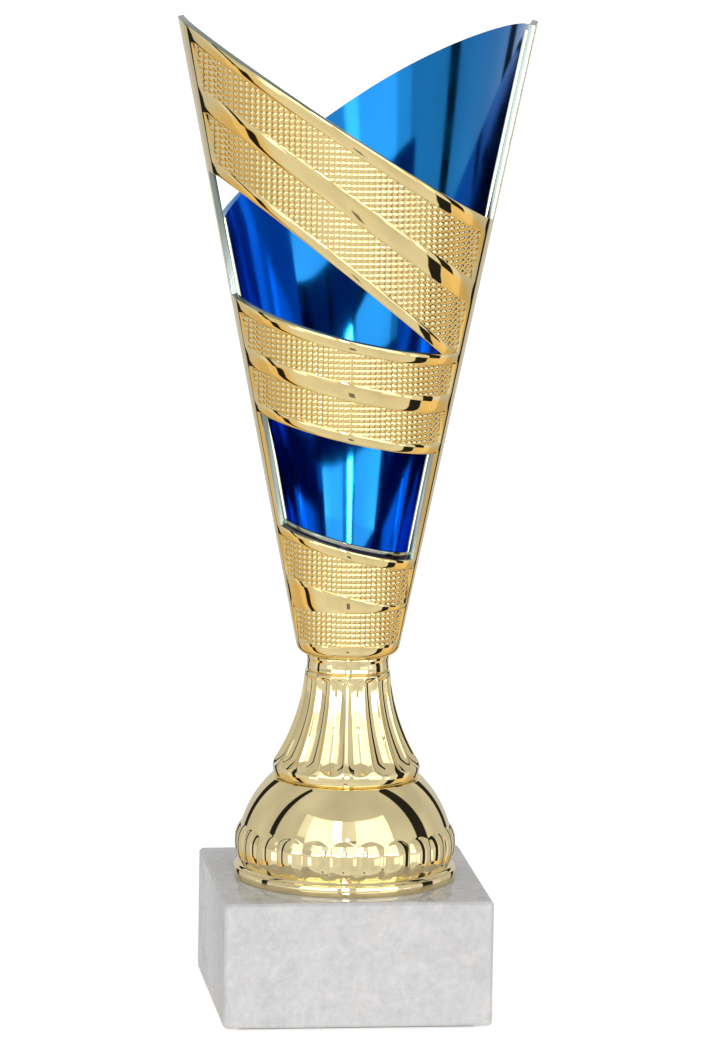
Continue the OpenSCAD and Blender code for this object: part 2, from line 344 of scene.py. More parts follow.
def lacquered(name, colour, shade, low_gloss, high_gloss, ripple):
    """A tinted mirror under a clear coat, which adds its own untinted highlights."""
    material = plated(name, colour, shade, low_gloss, high_gloss, ripple)
    shader = material.node_tree.nodes["Principled BSDF"]
    shader.inputs["Coat Weight"].default_value = 0.25
    shader.inputs["Coat Roughness"].default_value = 0.03
    return material


def marble_material():
    """Polished pale grey marble: cloudy patches, fine grain, and a few faint veins."""
    material, tree, shader = new_material("Polished marble")
    clouds = remap(tree, noise(tree, 110, 6, 0.68, 0.8), 0.3, 0.7, 0, 1)
    stone = blend_colours(tree, clouds, (0.40, 0.395, 0.40, 1), (0.51, 0.505, 0.50, 1))
    grain = remap(tree, noise(tree, 420, 3, 0.7), 0.3, 0.7, 0, 1)
    speckle = blend_colours(tree, grain, (0.33, 0.33, 0.34, 1), (0.62, 0.61, 0.60, 1))
    stone = blend_colours(tree, 0.25, stone, speckle)
    blush = remap(tree, noise(tree, 90, 3, 0.55, 1.2), 0.6, 0.75, 0, 0.4)
    stone = blend_colours(tree, blush, stone, (0.58, 0.49, 0.46, 1))
    crease = math_node(tree, "ABSOLUTE", math_node(tree, "SUBTRACT", noise(tree, 34, 4, 0.6, 1.6), 0.5))
    vein = remap(tree, crease, 0.0, 0.012, 0.16, 0)
    stone = blend_colours(tree, vein, stone, (0.66, 0.65, 0.64, 1))
    tree.links.new(stone, shader.inputs["Base Color"])
    tree.links.new(remap(tree, noise(tree, 180, 3), 0.3, 0.7, 0.05, 0.09), shader.inputs["Roughness"])
    return material


def felt_material():
    """Dark pressed felt: matted fibres with a soft sheen."""
    material, tree, shader = new_material("Pressed felt")
    fibres = noise(tree, 900, 6, 0.75, 2.0)
    mat = remap(tree, fibres, 0.3, 0.7, 0, 1)
    colour = blend_colours(tree, mat, (0.02, 0.022, 0.026, 1), (0.06, 0.064, 0.07, 1))
    tree.links.new(colour, shader.inputs["Base Color"])
    shader.inputs["Roughness"].default_value = 0.95
    shader.inputs["Sheen Weight"].default_value = 0.4
    bump = node(tree, "ShaderNodeBump", Distance=0.0004, Strength=0.7)
    tree.links.new(fibres, bump.inputs["Height"])
    tree.links.new(bump.outputs["Normal"], shader.inputs["Normal"])
    return material


def zinc_material():
    """Zinc-plated steel: bright, with cloudy spangle."""
    material, tree, shader = new_material("Zinc plated steel")
    shader.inputs["Metallic"].default_value = 1
    spangle = noise(tree, 240, 3, 0.6)
    colour = blend_colours(tree, spangle, (0.5, 0.51, 0.53, 1), (0.72, 0.72, 0.7, 1))
    tree.links.new(colour, shader.inputs["Base Color"])
    tree.links.new(remap(tree, spangle, 0.3, 0.7, 0.22, 0.38), shader.inputs["Roughness"])
    return material


GOLD_CUP = plated("Gold plate, cup", (0.95, 0.77, 0.38), (0.94, 0.74, 0.34), 0.02, 0.05, 0.03)
GOLD_FOOT = plated("Gold plate, foot", (0.94, 0.79, 0.44), (0.93, 0.77, 0.41), 0.02, 0.045, 0.02)
SILVER = plated("Silver plate", (0.34, 0.40, 0.37), (0.31, 0.365, 0.34), 0.22, 0.32, 0.03)
BRIGHT_LIP = plated("Silver plate at the lip", (0.58, 0.58, 0.45), (0.42, 0.45, 0.38), 0.1, 0.2, 0.06)
BLUE = lacquered("Blue mirror lacquer", (0.006, 0.245, 0.67), (0.006, 0.205, 0.61), 0.08, 0.14, 0.02)
# Painted shade: the frame's inner side is a dark blue, so that the cup's inside and its reflections in the
# shell come out dark
INNER_BLUE_SHADE = lacquered("Blue lacquer inside the front, darkened as painted shade", (0.01, 0.06, 0.22), (0.01, 0.05, 0.19), 0.1, 0.16, 0.02)
# Painted dark reflection: the lip's outside just above the ledge is made nearly black, standing for the
# dark gap that it reflects
LIP_PAINTED_REFLECTION = lacquered("Painted dark reflection under the lip", (0.02, 0.02, 0.05), (0.03, 0.018, 0.045), 0.08, 0.14, 0.02)
FRAME_FINISHES = [GOLD_CUP, INNER_BLUE_SHADE, SILVER]
SHELL_FINISHES = [BLUE, BRIGHT_LIP, LIP_PAINTED_REFLECTION]
MARBLE = marble_material()
FELT = felt_material()
ZINC = zinc_material()


# ---------------------------------------------------------------- base

def make_slab(lo, hi):
    """A plain block between two corners, in edit mode."""
    deselect()
    bpy.ops.mesh.primitive_cube_add(size=1, location=(0, 0, 0))
    piece = bpy.context.object
    edit(piece)
    bpy.ops.transform.resize(value=hi - lo)
    bpy.ops.transform.translate(value=(lo + hi) / 2)
    return piece


def make_felt():
    """A felt sheet with rounded corners and soft edges."""
    lo, hi = (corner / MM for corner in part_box("base_felt"))
    size = hi - lo
    piece = make_slab(lo, hi)
    pick_edges(piece, lambda a, b: abs(a.z - b.z) > size.z / 2)
    bpy.ops.mesh.bevel(offset=2.5, segments=6)
    bpy.ops.object.mode_set(mode="OBJECT")
    modifier(piece, "BEVEL", width=0.25, segments=2, limit_method="ANGLE")
    smooth(piece, 35)
    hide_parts("base_felt")
    return settle(piece, "felt_sheet", [FELT])


def make_marble():
    """The marble block: ground chamfers, a bore for the rod, and a recess for its nut underneath."""
    lo, hi = (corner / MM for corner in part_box("marble_base"))
    piece = make_slab(lo, hi)
    bpy.ops.mesh.select_all(action="SELECT")
    bpy.ops.mesh.bevel(offset=0.9, segments=1)
    bpy.ops.object.mode_set(mode="OBJECT")
    recess = high("base_washer") - base_z
    past = hi.z - lo.z + 1
    cutter = turned([(AXIS, -1), (RECESS_R, -1), (RECESS_R, recess), (BORE_R, recess), (BORE_R, past),
                     (AXIS, past)], 96)
    lift(cutter, base_z)
    cut_away(piece, cutter)
    modifier(piece, "BEVEL", width=0.18, segments=2, limit_method="ANGLE", angle_limit=math.radians(30))
    smooth(piece, 30)
    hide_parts("marble_base")
    return settle(piece, "marble_block", [MARBLE])


def make_washer(name, node_name):
    """A plain washer with eased edges."""
    r, t = WASHER_R, high(node_name) - low(node_name)
    edge = 0.2
    piece = turned([(BORE_R, edge), (BORE_R + edge, 0), (r - edge, 0), (r, edge), (r, t - edge),
                    (r - edge, t), (BORE_R + edge, t), (BORE_R, t - edge)], 96)
    lift(piece, low(node_name))
    smooth(piece, 25)
    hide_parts(node_name)
    return settle(piece, name, [ZINC])


def make_nut(name, node_name):
    """A hexagon nut: its corners are chamfered by a cone, and its bore is countersunk."""
    h = high(node_name) - low(node_name)
    flat = NUT_ACROSS / 2
    corner = flat / math.cos(math.radians(30))
    deselect()
    bpy.ops.mesh.primitive_cylinder_add(vertices=6, radius=corner, depth=h, location=(0, 0, 0))
    piece = bpy.context.object
    piece.data.transform(Matrix.Translation((0, 0, h / 2)) @ Matrix.Rotation(math.radians(30), 4, "Z"))
    drop, clear = 0.55, 12
    rounder = turned([(AXIS, -1), (clear, -1), (clear, h + 1), (AXIS, h + 1), (AXIS, h), (flat, h),
                      (corner, h - drop), (corner, drop), (flat, 0), (AXIS, 0)], 96)
    cut_away(piece, rounder)
    lead = 0.5
    bore = ROD_R + 0.05
    mouth = bore + lead + 1
    drill = turned([(AXIS, -1), (mouth, -1), (bore, lead), (bore, h - lead), (mouth, h + 1),
                    (AXIS, h + 1)], 64)
    cut_away(piece, drill)
    modifier(piece, "BEVEL", width=0.12, segments=2, limit_method="ANGLE", angle_limit=math.radians(40))
    lift(piece, low(node_name))
    smooth(piece, 30)
    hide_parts(node_name)
    return settle(piece, name, [ZINC])


def make_rod():
    """The threaded rod: one turn of thread, screwed up the whole length, with chamfered ends."""
    z0, z1 = low("tie_rod"), high("tie_rod")
    turns = int((z1 - z0) / THREAD_PITCH) - 2
    root = ROD_R - THREAD_DEPTH
    piece = single_point(root, z0 + 0.5)
    for dr, dz in ((THREAD_DEPTH, 0.44), (0, 0.12), (-THREAD_DEPTH, 0.44)):
        bpy.ops.mesh.extrude_region_move(TRANSFORM_OT_translate={"value": (dr, 0, dz)})
    bpy.ops.object.mode_set(mode="OBJECT")
    modifier(piece, "SCREW", axis="Z", angle=2 * math.pi, steps=24, render_steps=24,
             screw_offset=THREAD_PITCH, iterations=turns, use_merge_vertices=True, merge_threshold=WELD,
             use_smooth_shade=False)
    axis, chamfer, end_r, core_r = 0.02, 0.4, root - 0.3, root + 0.02
    core = turned([(axis, z0), (end_r, z0), (core_r, z0 + chamfer), (core_r, z1 - chamfer), (end_r, z1),
                   (axis, z1)], 48)
    take(piece)
    core.select_set(True)
    bpy.ops.object.join()
    smooth(piece, 25)
    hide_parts("tie_rod")
    return settle(piece, "threaded_rod", [ZINC])


# ---------------------------------------------------------------- foot, stem and collar

DOME_R = 34.5
DOME_LIFT = 7.3
LOBES = 24


def make_foot():
    """The hollow foot: a flat ring, a belt of rounded lobes, and a dome with the stem's seat on top."""
    top = stem_z - foot_z
    lobe_foot, lobe_top, lobe_rise, valley = 5.3, 17.4, 1.1, 0.25
    belt_low, belt_high = 5.0, 18.2
    end_fall, end_climb = 1.9, 1.6
    waist, waist_top, waist_tall = 0.7, 13.5, 8.5
    wall, tube_r, ring_in = 2.0, 7.0, 32.2

    def dome_r(z):
        return math.sqrt(DOME_R ** 2 - (z - DOME_LIFT) ** 2)

    outline = [(33.2, 0), (35.1, 0), (35.4, 0.3), (35.4, 3.2), (35.15, 3.5), (34.75, 3.55), (34.6, 3.75),
               (34.4, 4.2), (33.9, 4.6), (33.3, 4.85)]
    belt = [(dome_r(z), z) for z in (belt_low + (belt_high - belt_low) * i / 44 for i in range(45))]
    dome = [(dome_r(z), z) for z in (belt_high + (top - belt_high) * math.sin(math.pi / 2 * i / 22)
                                     for i in range(1, 23))]
    inner = arc((0, DOME_LIFT), DOME_R - wall, 46, -4, 14)
    outline += belt + dome + [(dome_r(top) - 0.8, top), (BORE_R, top), (BORE_R, 0), (tube_r, 0),
                              (tube_r, top - wall - 1)] + inner + [(ring_in, 2.5)]
    piece = turned(outline, LOBES * 16)

    def floor_r(z):
        """Body under the lobes: the dome, drawn in to a waist below the belt's middle."""
        return dome_r(z) - waist * max(0.0, (waist_top - z) / waist_tall)

    def lobe_relief(angle, z):
        """Height of the lobes over the body: round in section, with sharp valleys and arched ends."""
        half = math.pi / LOBES
        off = (angle % (2 * half) - half) / half
        upper = lobe_top - end_fall * off ** 2
        lower = lobe_foot + end_climb * off ** 2
        t = 2 * (z - lower) / (upper - lower) - 1
        if abs(t) >= 1:
            return 0.0
        return (valley + (lobe_rise - valley) * (1 - off ** 2)) * (1 - abs(t) ** 2.6) ** 0.7

    for vertex in piece.data.vertices:
        x, y, z = vertex.co
        r = math.hypot(x, y)
        if belt_low - 0.01 < z < belt_high and r > ring_in + 0.2:
            new = floor_r(z) + lobe_relief(math.atan2(y, x), z)
            set_radius(vertex, new)
    lift(piece, foot_z)
    smooth(piece, 50)
    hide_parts("foot_dome")
    return settle(piece, "lobed_foot", [GOLD_FOOT])


FLUTES = 16


def make_stem():
    """The hollow stem: a bell with a rounded lip, and flutes that end in round arches above it."""
    tall = collar_z - stem_z
    lip_r, lip_round, lip_in, top_r = 23.4, 3.2, 1.3, 13.5
    under, under_wide, under_tall = 58, 1.9, 3.7
    curve_r = 64.7
    curve = Vector((78.0, 39.0))
    wall, plate = 3.0, 4.0

    def side_r(z):
        return curve.x - math.sqrt(curve_r ** 2 - (curve.y - z) ** 2)

    lip = [(lip_r - lip_in, 0)]
    lip += [(lip_r - under_wide * (1 - math.cos(a)), lip_round + under_tall * math.sin(a))
            for a in (math.radians(-under + under * i / 8) for i in range(9))]
    lip += arc((lip_r - lip_round, lip_round), lip_round, 3, 24, 5)
    rows = 64
    start, end = 5.0, tall - 0.6
    side = [(side_r(z), z) for z in (start + (end - start) * i / rows for i in range(rows + 1))]
    outline = [(lip_r - lip_round - wall, 0)] + lip + side
    outline += [(side_r(tall) - 0.15, tall - 0.25), (side_r(tall) - 0.5, tall), (BORE_R, tall),
                (BORE_R, tall - plate), (top_r - wall - 1, tall - plate), (top_r - wall, tall / 2)]
    piece = turned(outline, FLUTES * 24)

    arch_h, ridge_foot, ridge_top = 7.6, 0.9, 0.5
    deep_foot, deep_top = 1.65, 0.8
    slant = 0.876
    pitch = 2 * math.pi / FLUTES

    def flute_depth(angle, z, r):
        share = min(max((z - arch_h) / (tall - arch_h), 0), 1)
        deep = deep_foot + (deep_top - deep_foot) * share
        deep *= min(1.0, max(0.0, (tall - 0.9 - z) / 1.4))
        if deep < 0.02:
            return 0.0
        half = r * pitch / 2 - (ridge_foot + (ridge_top - ridge_foot) * share) / 2
        ball = (half ** 2 + deep ** 2) / (2 * deep)
        off = (angle % pitch) - pitch / 2
        across = r * off
        below = max(arch_h - z, 0) / slant
        room = ball ** 2 - across ** 2 - below ** 2
        return max(0.0, math.sqrt(room) - (ball - deep)) if room > 0 else 0.0

    for vertex in piece.data.vertices:
        x, y, z = vertex.co
        r = math.hypot(x, y)
        if r > top_r - 0.8 and 1.5 < z < tall - 0.5:
            new = r - flute_depth(math.atan2(y, x), z, r)
            set_radius(vertex, new)
    lift(piece, stem_z)
    smooth(piece, 50)
    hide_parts("stem_bell")
    return settle(piece, "fluted_stem", [GOLD_FOOT], CUP_TURN)


def make_collar():
    """The collar between the stem and the cup: a plain band with eased edges and a fine groove."""
    tall = cup_z - collar_z
    r, ease, groove = 13.1, 0.5, 0.12
    outline = [(BORE_R, 0)] + arc((r - ease, ease), ease, -90, 0, 5)
    outline += [(r, 0.9), (r - groove, 1.2), (r - groove, tall - 1.5), (r, tall - 1.1)]
    outline += arc((r - ease, tall - ease), ease, 0, 90, 5) + [(BORE_R, tall)]
    piece = turned(outline, 256)
    lift(piece, collar_z)
    smooth(piece, 40)
    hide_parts("neck_collar")
    return settle(piece, "collar_ring", [GOLD_FOOT], CUP_TURN)


# ---------------------------------------------------------------- cup

class Edge:
    """A sloping edge of the cup: its height on the axis, its fall, and the heading of the fall."""

    def __init__(self, height, fall, heading):
        self.height = height
        slope, turn = math.tan(math.radians(fall)), math.radians(heading)
        self.dx, self.dy = -slope * math.cos(turn), -slope * math.sin(turn)

    def at(self, x, y):
        return self.height + self.dx * x + self.dy * y

    def share(self, other, s):
        """The edge that lies a share of the way down to another edge."""
        made = Edge(self.height + (other.height - self.height) * s, 0, 0)
        made.dx = self.dx + (other.dx - self.dx) * s
        made.dy = self.dy + (other.dy - self.dy) * s
        return made

    def cut(self, shift=0.0, **clear):
        """In edit mode, cuts the selected faces along the edge, or along a line a shift above it."""
        bpy.ops.mesh.bisect(plane_co=(0, 0, self.height + shift), threshold=CUT_THRESHOLD,
                            plane_no=Vector((-self.dx, -self.dy, 1)).normalized(), **clear)


# Where the cup's bands and fields start and end, from the top down. The shell's lip stands above the ledge
SASH_TOP = Edge(166.5, 31.9, 4.4)
SASH_FOOT = Edge(116.9, 38.4, 13)
MID_TOP = Edge(106.8, 13.2, -15.6)
MID_FOOT = Edge(72.1, 12.3, -4.7)
LEDGE = Edge(37.1, 14, -8)
LIP = Edge(39.4, 15.1, -8)
# Under this line the lip's outside carries the painted dark reflection
LIP_LINE = Edge(38.3, 14.6, -8)
WEDGE_TOP = Edge(21.8, 14, -8)
WEDGE_FOOT = Edge(15.8, 0, 0)
HEM_TOP = Edge(4.6, 0, 0)
LEDGE_BORDER = Edge(33.9, 14, -8)

# The back rim's height and slope at the cup's middle, and its radius
RIM_MID_H, RIM_SLOPE, RIM_R = 172.1, math.radians(34.1), 284.0


def rim_h(x):
    """Height of the shell's back rim, an arc seen from the cup's front."""
    cx = RIM_R * math.sin(RIM_SLOPE)
    return RIM_MID_H - RIM_R * math.cos(RIM_SLOPE) + math.sqrt(RIM_R ** 2 - (x - cx) ** 2)


def front_angle(point):
    """Degrees around the cup from its front, positive to the right."""
    return math.degrees(math.atan2(point.x, -point.y))


def within(point, upper, lower):
    return lower.at(point.x, point.y) < point.z < upper.at(point.x, point.y)


# A band's beads are its smooth raised bars: its two edges, and the shares of its height where each bead
# starts and ends
BEADS = {
    "sash": (SASH_TOP, SASH_FOOT, ((0.0, 0.107), (0.415, 0.585), (0.912, 1.0))),
    "middle": (MID_TOP, MID_FOOT, ((0.0, 0.112), (0.415, 0.59), (0.90, 1.0))),
}
# How far the textured fields lie behind the beads, how far a bead's edges fall back, and a bead's rows
FIELD_DEPTH = 0.6
BEAD_DROP = 0.32
BEAD_ROWS = (0.0, 0.08, 0.2, 0.34, 0.66, 0.8, 0.92, 1.0)
# Degrees from the front where the relief starts to run out, and how many it takes
RELIEF_END, RELIEF_FADE = 66.0, 4.0
# How much thicker the shell's wall is where no frame covers it
BACK_THICKENING = 1.0


def bead_relief(t):
    """How far a bead's surface lies behind its crown, from one edge (t = 0) to the other (t = 1)."""
    return -BEAD_DROP * abs(2 * t - 1) ** 4


def band_relief(point, beads, top, foot):
    """Relief of a band: crowned beads, with hollow fields between them."""
    s = (top.at(point.x, point.y) - point.z) / (top.at(point.x, point.y) - foot.at(point.x, point.y))
    for start, end in beads:
        if start - 1e-4 <= s <= end + 1e-4:
            return bead_relief((s - start) / (end - start))
    if -0.001 < s < 1.001:
        return -FIELD_DEPTH
    return 0.0


def fade(angle):
    """1 over the fields, falling to 0 where the relief runs out before a rail."""
    return min(max((RELIEF_END + RELIEF_FADE - abs(angle)) / RELIEF_FADE, 0), 1)


def slice_band(piece, upper, lower, half, edges):
    """Cuts rows across a band, along sloping edges."""
    for edge in edges:
        pick_faces(piece, lambda c: within(c, upper, lower) and abs(front_angle(c)) < half)
        edge.cut()


def bead_edges(top, foot, beads):
    """The edges of a band's bead rows, and of the steps down to its fields."""
    step = 0.004
    edges = []
    for start, end in beads:
        for t in BEAD_ROWS:
            s = start + (end - start) * t
            if 0.001 < s < 0.999:
                edges.append(top.share(foot, s))
        if start > 0.001:
            edges.append(top.share(foot, start - step))
        if end < 0.999:
            edges.append(top.share(foot, end + step))
    return edges


def lower_edges():
    """The rows of the lower band: the ledge's border, the wedge, and the hem."""
    step = 0.2
    edges = []
    for t in BEAD_ROWS[1:]:
        edges.append(LEDGE.share(LEDGE_BORDER, t))
    for edge, side in ((LEDGE_BORDER, -1), (WEDGE_TOP, 1), (WEDGE_FOOT, -1), (HEM_TOP, 1)):
        for lift_by in (0, side * step):
            made = edge.share(edge, 0)
            made.height += lift_by
            edges.append(made)
    for t in BEAD_ROWS[1:-1]:
        edges.append(WEDGE_TOP.share(WEDGE_FOOT, t))
    return edges


def lower_relief(point):
    """Relief of the lower band: flat border, hollow field, crowned wedge, hollow field, hem."""
    x, y, z = point
    border, wedge_top = LEDGE_BORDER.at(x, y), WEDGE_TOP.at(x, y)
    wedge_foot, hem = WEDGE_FOOT.at(x, y), HEM_TOP.at(x, y)
    if z >= border - 0.01:
        t = (LEDGE.at(x, y) - z) / (LEDGE.at(x, y) - border)
        return 0.8 * bead_relief(min(max(t, 0), 1))
    if z > wedge_top + 0.01:
        return -FIELD_DEPTH
    if z >= wedge_foot - 0.01:
        t = (wedge_top - z) / max(wedge_top - wedge_foot, 0.5)
        return 0.7 * bead_relief(min(max(t, 0), 1))
    if z > hem + 0.01:
        return -FIELD_DEPTH
    return 0.0


def make_frame():
    """The gilded frame: a cone cut into bands and rails, hollowed to a wall, with its relief pressed in."""
    deselect()
    foot_h = CUP_ROUND * (1 - math.sin(CUP_ANGLE))
    bpy.ops.mesh.primitive_cone_add(vertices=360, radius1=cup_r(foot_h), radius2=cup_r(CUP_TOP_H),
                                    depth=CUP_TOP_H - foot_h, end_fill_type="NOTHING", location=(0, 0, 0))
    piece = bpy.context.object
    lift(piece, (CUP_TOP_H + foot_h) / 2)
    edit(piece)
    for edge in (SASH_TOP, SASH_FOOT, MID_TOP, MID_FOOT, LEDGE):
        bpy.ops.mesh.select_all(action="SELECT")
        edge.cut()
    delete_faces(piece, lambda c: abs(front_angle(c)) > 90 and c.z > LEDGE.at(c.x, c.y))
    delete_faces(piece, lambda c: c.z > SASH_TOP.at(c.x, c.y) and front_angle(c) < UPPER_HALF)
    delete_faces(piece, lambda c: within(c, SASH_FOOT, MID_TOP) and abs(front_angle(c)) < UPPER_HALF)
    delete_faces(piece, lambda c: within(c, MID_FOOT, LEDGE) and abs(front_angle(c)) < LOWER_HALF)
    for top, foot, beads in BEADS.values():
        slice_band(piece, top, foot, 90, bead_edges(top, foot, beads))
    slice_band(piece, LEDGE, Edge(foot_h - 1, 0, 0), 181, lower_edges())

    # The right rail's top follows the shell's rim: its points slide down along the cone
    bm = bmesh.from_edit_mesh(piece.data)
    for vertex in bm.verts:
        if vertex.co.z > CUP_TOP_H - 0.01:
            slide_to_rim(vertex.co, 0.0)
    bmesh.update_edit_mesh(piece.data)

    # Rounded lower edge and floor, drawn out from the cone's lower end
    centre = (cup_r(CUP_ROUND) - CUP_ROUND / math.cos(CUP_ANGLE), CUP_ROUND)
    rounding = arc(centre, CUP_ROUND, -math.degrees(CUP_ANGLE), -90, 8)
    draw_in(piece, foot_h, rounding[1:])
    bpy.ops.object.mode_set(mode="OBJECT")
    for material in FRAME_FINISHES:
        piece.data.materials.append(material)
    # The wall's inner faces take the dark painted-shade blue, and its cut faces the silver
    modifier(piece, "SOLIDIFY", thickness=FRAME_WALL, offset=-1, use_even_offset=False,
             use_quality_normals=True, material_offset=1, material_offset_rim=2)
    for vertex in piece.data.vertices:
        x, y, z = vertex.co
        r = math.hypot(x, y)
        if r < cup_r(z) - 0.3 or z < foot_h:
            continue
        angle = front_angle(vertex.co)
        back = 0.0
        for top, foot, beads in BEADS.values():
            if foot.at(x, y) - 0.01 <= z <= top.at(x, y) + 0.01:
                back = band_relief(vertex.co, beads, top, foot)
        if z <= LEDGE.at(x, y) + 0.01:
            back = lower_relief(vertex.co)
        back *= fade(angle)
        set_radius(vertex, r + back)
    return piece


def slide_to_rim(point, inset):
    """Slides a point down along its line on the cone until it meets the back rim."""
    angle = math.atan2(point.y, point.x)
    h = point.z
    for _ in range(40):
        h = rim_h((cup_r(h) - inset) * math.cos(angle))
    r = cup_r(h) - inset
    point.x, point.y, point.z = r * math.cos(angle), r * math.sin(angle), h


def draw_in(piece, height, outline):
    """In edit mode, extrudes the open ring at a height along an outline towards the axis."""
    pick_edges(piece, lambda a, b: abs(a.z - height) < 0.01 and abs(b.z - height) < 0.01)
    bm = bmesh.from_edit_mesh(piece.data)
    ring = [v.co.copy() for v in bm.verts if v.select]
    r, z = math.hypot(ring[0].x, ring[0].y), ring[0].z
    for new_r, new_z in outline:
        bpy.ops.mesh.extrude_region_move(TRANSFORM_OT_translate={"value": (0, 0, new_z - z)})
        bpy.ops.transform.resize(value=(new_r / r, new_r / r, 1), center_override=(0, 0, new_z))
        r, z = new_r, new_z


# Height of the texture's pillows, the share of it that is left from a pillow's middle out to its edge, and
# where the rows between them stand, as shares of the pitch
PILLOW = 0.42
PILLOW_CROWN = (1.0, 0.8, 0.0)
PILLOW_SPREAD = (0.0, 0.31, 0.5)


def make_field(upper, lower, pitch_x, pitch_z, low_h, high_h):
    """A textured field: rows and columns of one pillow, laid on the cone and trimmed to two edges."""
    deselect()
    bpy.ops.mesh.primitive_grid_add(x_subdivisions=4, y_subdivisions=4, size=1, location=(0, 0, 0))
    tile = bpy.context.object
    for vertex in tile.data.vertices:
        col, row = round(vertex.co.x * 4), round(vertex.co.y * 4)
        x = math.copysign(PILLOW_SPREAD[abs(col)], col) * pitch_x
        z = math.copysign(PILLOW_SPREAD[abs(row)], row) * pitch_z
        vertex.co = (x, PILLOW * PILLOW_CROWN[abs(col)] * PILLOW_CROWN[abs(row)], z)
    limit = math.sin(math.radians(RELIEF_END + RELIEF_FADE / 2))
    columns = 2 * int(cup_r(high_h) * limit / pitch_x) + 1
    rows = int((high_h - low_h) / pitch_z) + 1
    tile.data.transform(Matrix.Translation((-(columns - 1) / 2 * pitch_x, 0, low_h + pitch_z / 2)))
    modifier(tile, "ARRAY", count=columns, use_relative_offset=False, use_constant_offset=True,
             constant_offset_displace=(pitch_x, 0, 0), use_merge_vertices=True, merge_threshold=0.01)
    modifier(tile, "ARRAY", count=rows, use_relative_offset=False, use_constant_offset=True,
             constant_offset_displace=(0, 0, pitch_z), use_merge_vertices=True, merge_threshold=0.01)
    edit(tile)
    delete_faces(tile, lambda c: abs(c.x) > limit * (cup_r(c.z) - 1))
    bpy.ops.object.mode_set(mode="OBJECT")
    for vertex in tile.data.vertices:
        x, height, z = vertex.co
        r = cup_r(z) - FIELD_DEPTH
        near = math.sqrt(max(r * r - x * x, 0))
        out = 1 + height / r
        vertex.co = (x * out, -near * out, z)
    edit(tile)
    under = 0.25
    for edge, side in ((upper, 1), (lower, -1)):
        bpy.ops.mesh.select_all(action="SELECT")
        edge.cut(side * under, clear_outer=side > 0, clear_inner=side < 0)
    bpy.ops.object.mode_set(mode="OBJECT")
    edit(tile)
    bpy.ops.mesh.select_all(action="SELECT")
    bpy.ops.mesh.normals_make_consistent(inside=False)
    bm = bmesh.from_edit_mesh(tile.data)
    bm.faces.ensure_lookup_table()
    middle = bm.faces[len(bm.faces) // 2]
    if middle.normal.y > 0:
        bpy.ops.mesh.flip_normals()
    bpy.ops.object.mode_set(mode="OBJECT")
    modifier(tile, "SOLIDIFY", thickness=0.3, offset=-1)
    return tile


def make_cup_frame():
    """The frame with its eased edges, and the textured fields that lie in its bands."""
    piece = make_frame()
    take(piece)
    modifier(piece, "BEVEL", width=0.22, segments=2, limit_method="ANGLE", angle_limit=math.radians(50))
    fields = []
    for (top, foot, beads), pitch in ((BEADS["sash"], 1.8), (BEADS["middle"], 1.68)):
        for (_, start), (end, _) in zip(beads, beads[1:]):
            upper, lower = top.share(foot, start), top.share(foot, end)
            low_h = min(lower.at(x, y) for x in (-50, 50) for y in (-50, 0)) - 2
            high_h = max(upper.at(x, y) for x in (-50, 50) for y in (-50, 0)) + 2
            fields.append(make_field(upper, lower, pitch, pitch, max(low_h, 60), min(high_h, 205)))
    fields.append(make_field(LEDGE_BORDER, WEDGE_TOP, 1.6, 1.7, 12, 46))
    fields.append(make_field(WEDGE_FOOT, HEM_TOP, 1.6, 1.7, 3.8, 17.4))
    take(fields[0])
    for field in fields:
        field.select_set(True)
    bpy.ops.object.join()
    for part, name in ((piece, "gilded_frame"), (fields[0], "pillow_fields")):
        lift(part, cup_z)
        smooth(part, 40)
        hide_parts("cup_frame")
        settle(part, name, FRAME_FINISHES, CUP_TURN)


def make_cup_shell():
    """The blue shell: a mirror cone with a lip in front, a rising rim behind, and a floor."""
    deselect()
    floor_h = FRAME_FLOOR + LINER_FLOOR
    bpy.ops.mesh.primitive_cone_add(vertices=360, radius1=cup_r(floor_h) - LINER_IN,
                                    radius2=cup_r(CUP_TOP_H) - LINER_IN, depth=CUP_TOP_H - floor_h,
                                    end_fill_type="NOTHING", location=(0, 0, 0))
    piece = bpy.context.object
    lift(piece, (CUP_TOP_H + floor_h) / 2)
    edit(piece)
    for edge in (LIP, LIP_LINE, MID_FOOT):
        bpy.ops.mesh.select_all(action="SELECT")
        edge.cut()
    delete_faces(piece, lambda c: c.z > LIP.at(c.x, c.y) and abs(front_angle(c)) < LOWER_HALF)
    delete_faces(piece, lambda c: c.z > MID_FOOT.at(c.x, c.y) and abs(front_angle(c)) < UPPER_HALF)
    bm = bmesh.from_edit_mesh(piece.data)
    for vertex in bm.verts:
        if vertex.co.z > CUP_TOP_H - 0.01:
            slide_to_rim(vertex.co, LINER_IN)
    bmesh.update_edit_mesh(piece.data)
    draw_in(piece, floor_h, [(BORE_R, floor_h)])
    # The cone's faces look outwards, so the wall grows out from the mirror side
    bpy.ops.object.mode_set(mode="OBJECT")
    modifier(piece, "SOLIDIFY", thickness=LINER_WALL, offset=1, material_offset=1, material_offset_rim=1)
    for vertex in piece.data.vertices:
        x, y, z = vertex.co
        r = math.hypot(x, y)
        if y > 0.3 and z > LEDGE.at(x, y) + 0.2 and r > cup_r(z) - LINER_IN + LINER_WALL / 2:
            set_radius(vertex, r + BACK_THICKENING)
    modifier(piece, "BEVEL", width=0.18, segments=2, limit_method="ANGLE", angle_limit=math.radians(50))
    # The mirror side is blue; in front the outside is silver above LIP_LINE, and below it a painted dark
    # reflection
    for face in piece.data.polygons:
        c = face.center
        outside = math.hypot(c.x, c.y) > cup_r(c.z) - LINER_IN + 0.15
        front = c.y < 0
        face.material_index = (1 if c.z > LIP_LINE.at(c.x, c.y) else 2) if outside and front else 0
    lift(piece, cup_z)
    smooth(piece, 40)
    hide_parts("cup_shell")
    return settle(piece, "blue_shell", SHELL_FINISHES, CUP_TURN)


# ---------------------------------------------------------------- studio

